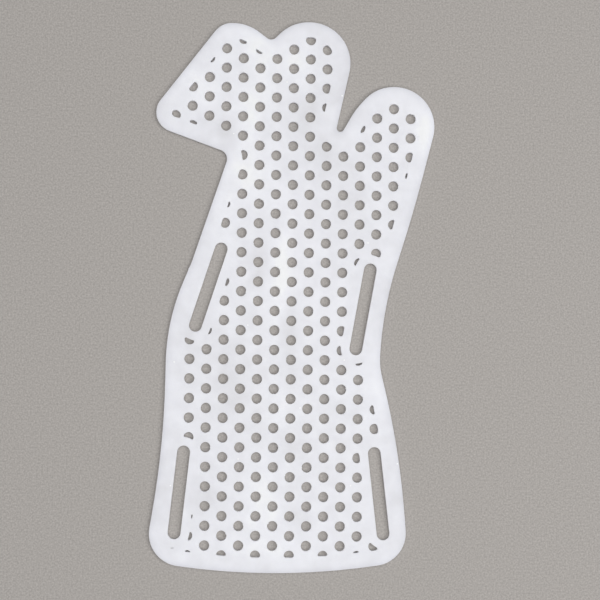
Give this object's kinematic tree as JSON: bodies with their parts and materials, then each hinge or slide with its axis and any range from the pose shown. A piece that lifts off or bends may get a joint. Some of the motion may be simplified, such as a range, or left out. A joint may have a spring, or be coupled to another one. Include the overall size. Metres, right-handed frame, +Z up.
{
  "type": "metacarpal splint",
  "caption": "Flat perforated plastic sheet cut to a hand and forearm outline, with finger lobes and strap slots, warmed and moulded to hold the wrist and palm still.",
  "frame": {"origin": "middle of the sheet's bounding box, on its underside", "axes": "+Y along the sheet from the forearm end to the finger lobes, +X to the right seen from above, +Z up through the sheet's thickness"},
  "size_m": [0.1296, 0.2543, 0.0024],
  "materials": {
    "splint_plastic": "smooth satin, milky white, slightly translucent"
  },
  "bodies": {
    "root": {"splint_sheet": "splint_plastic"}
  },
  "joints": []
}
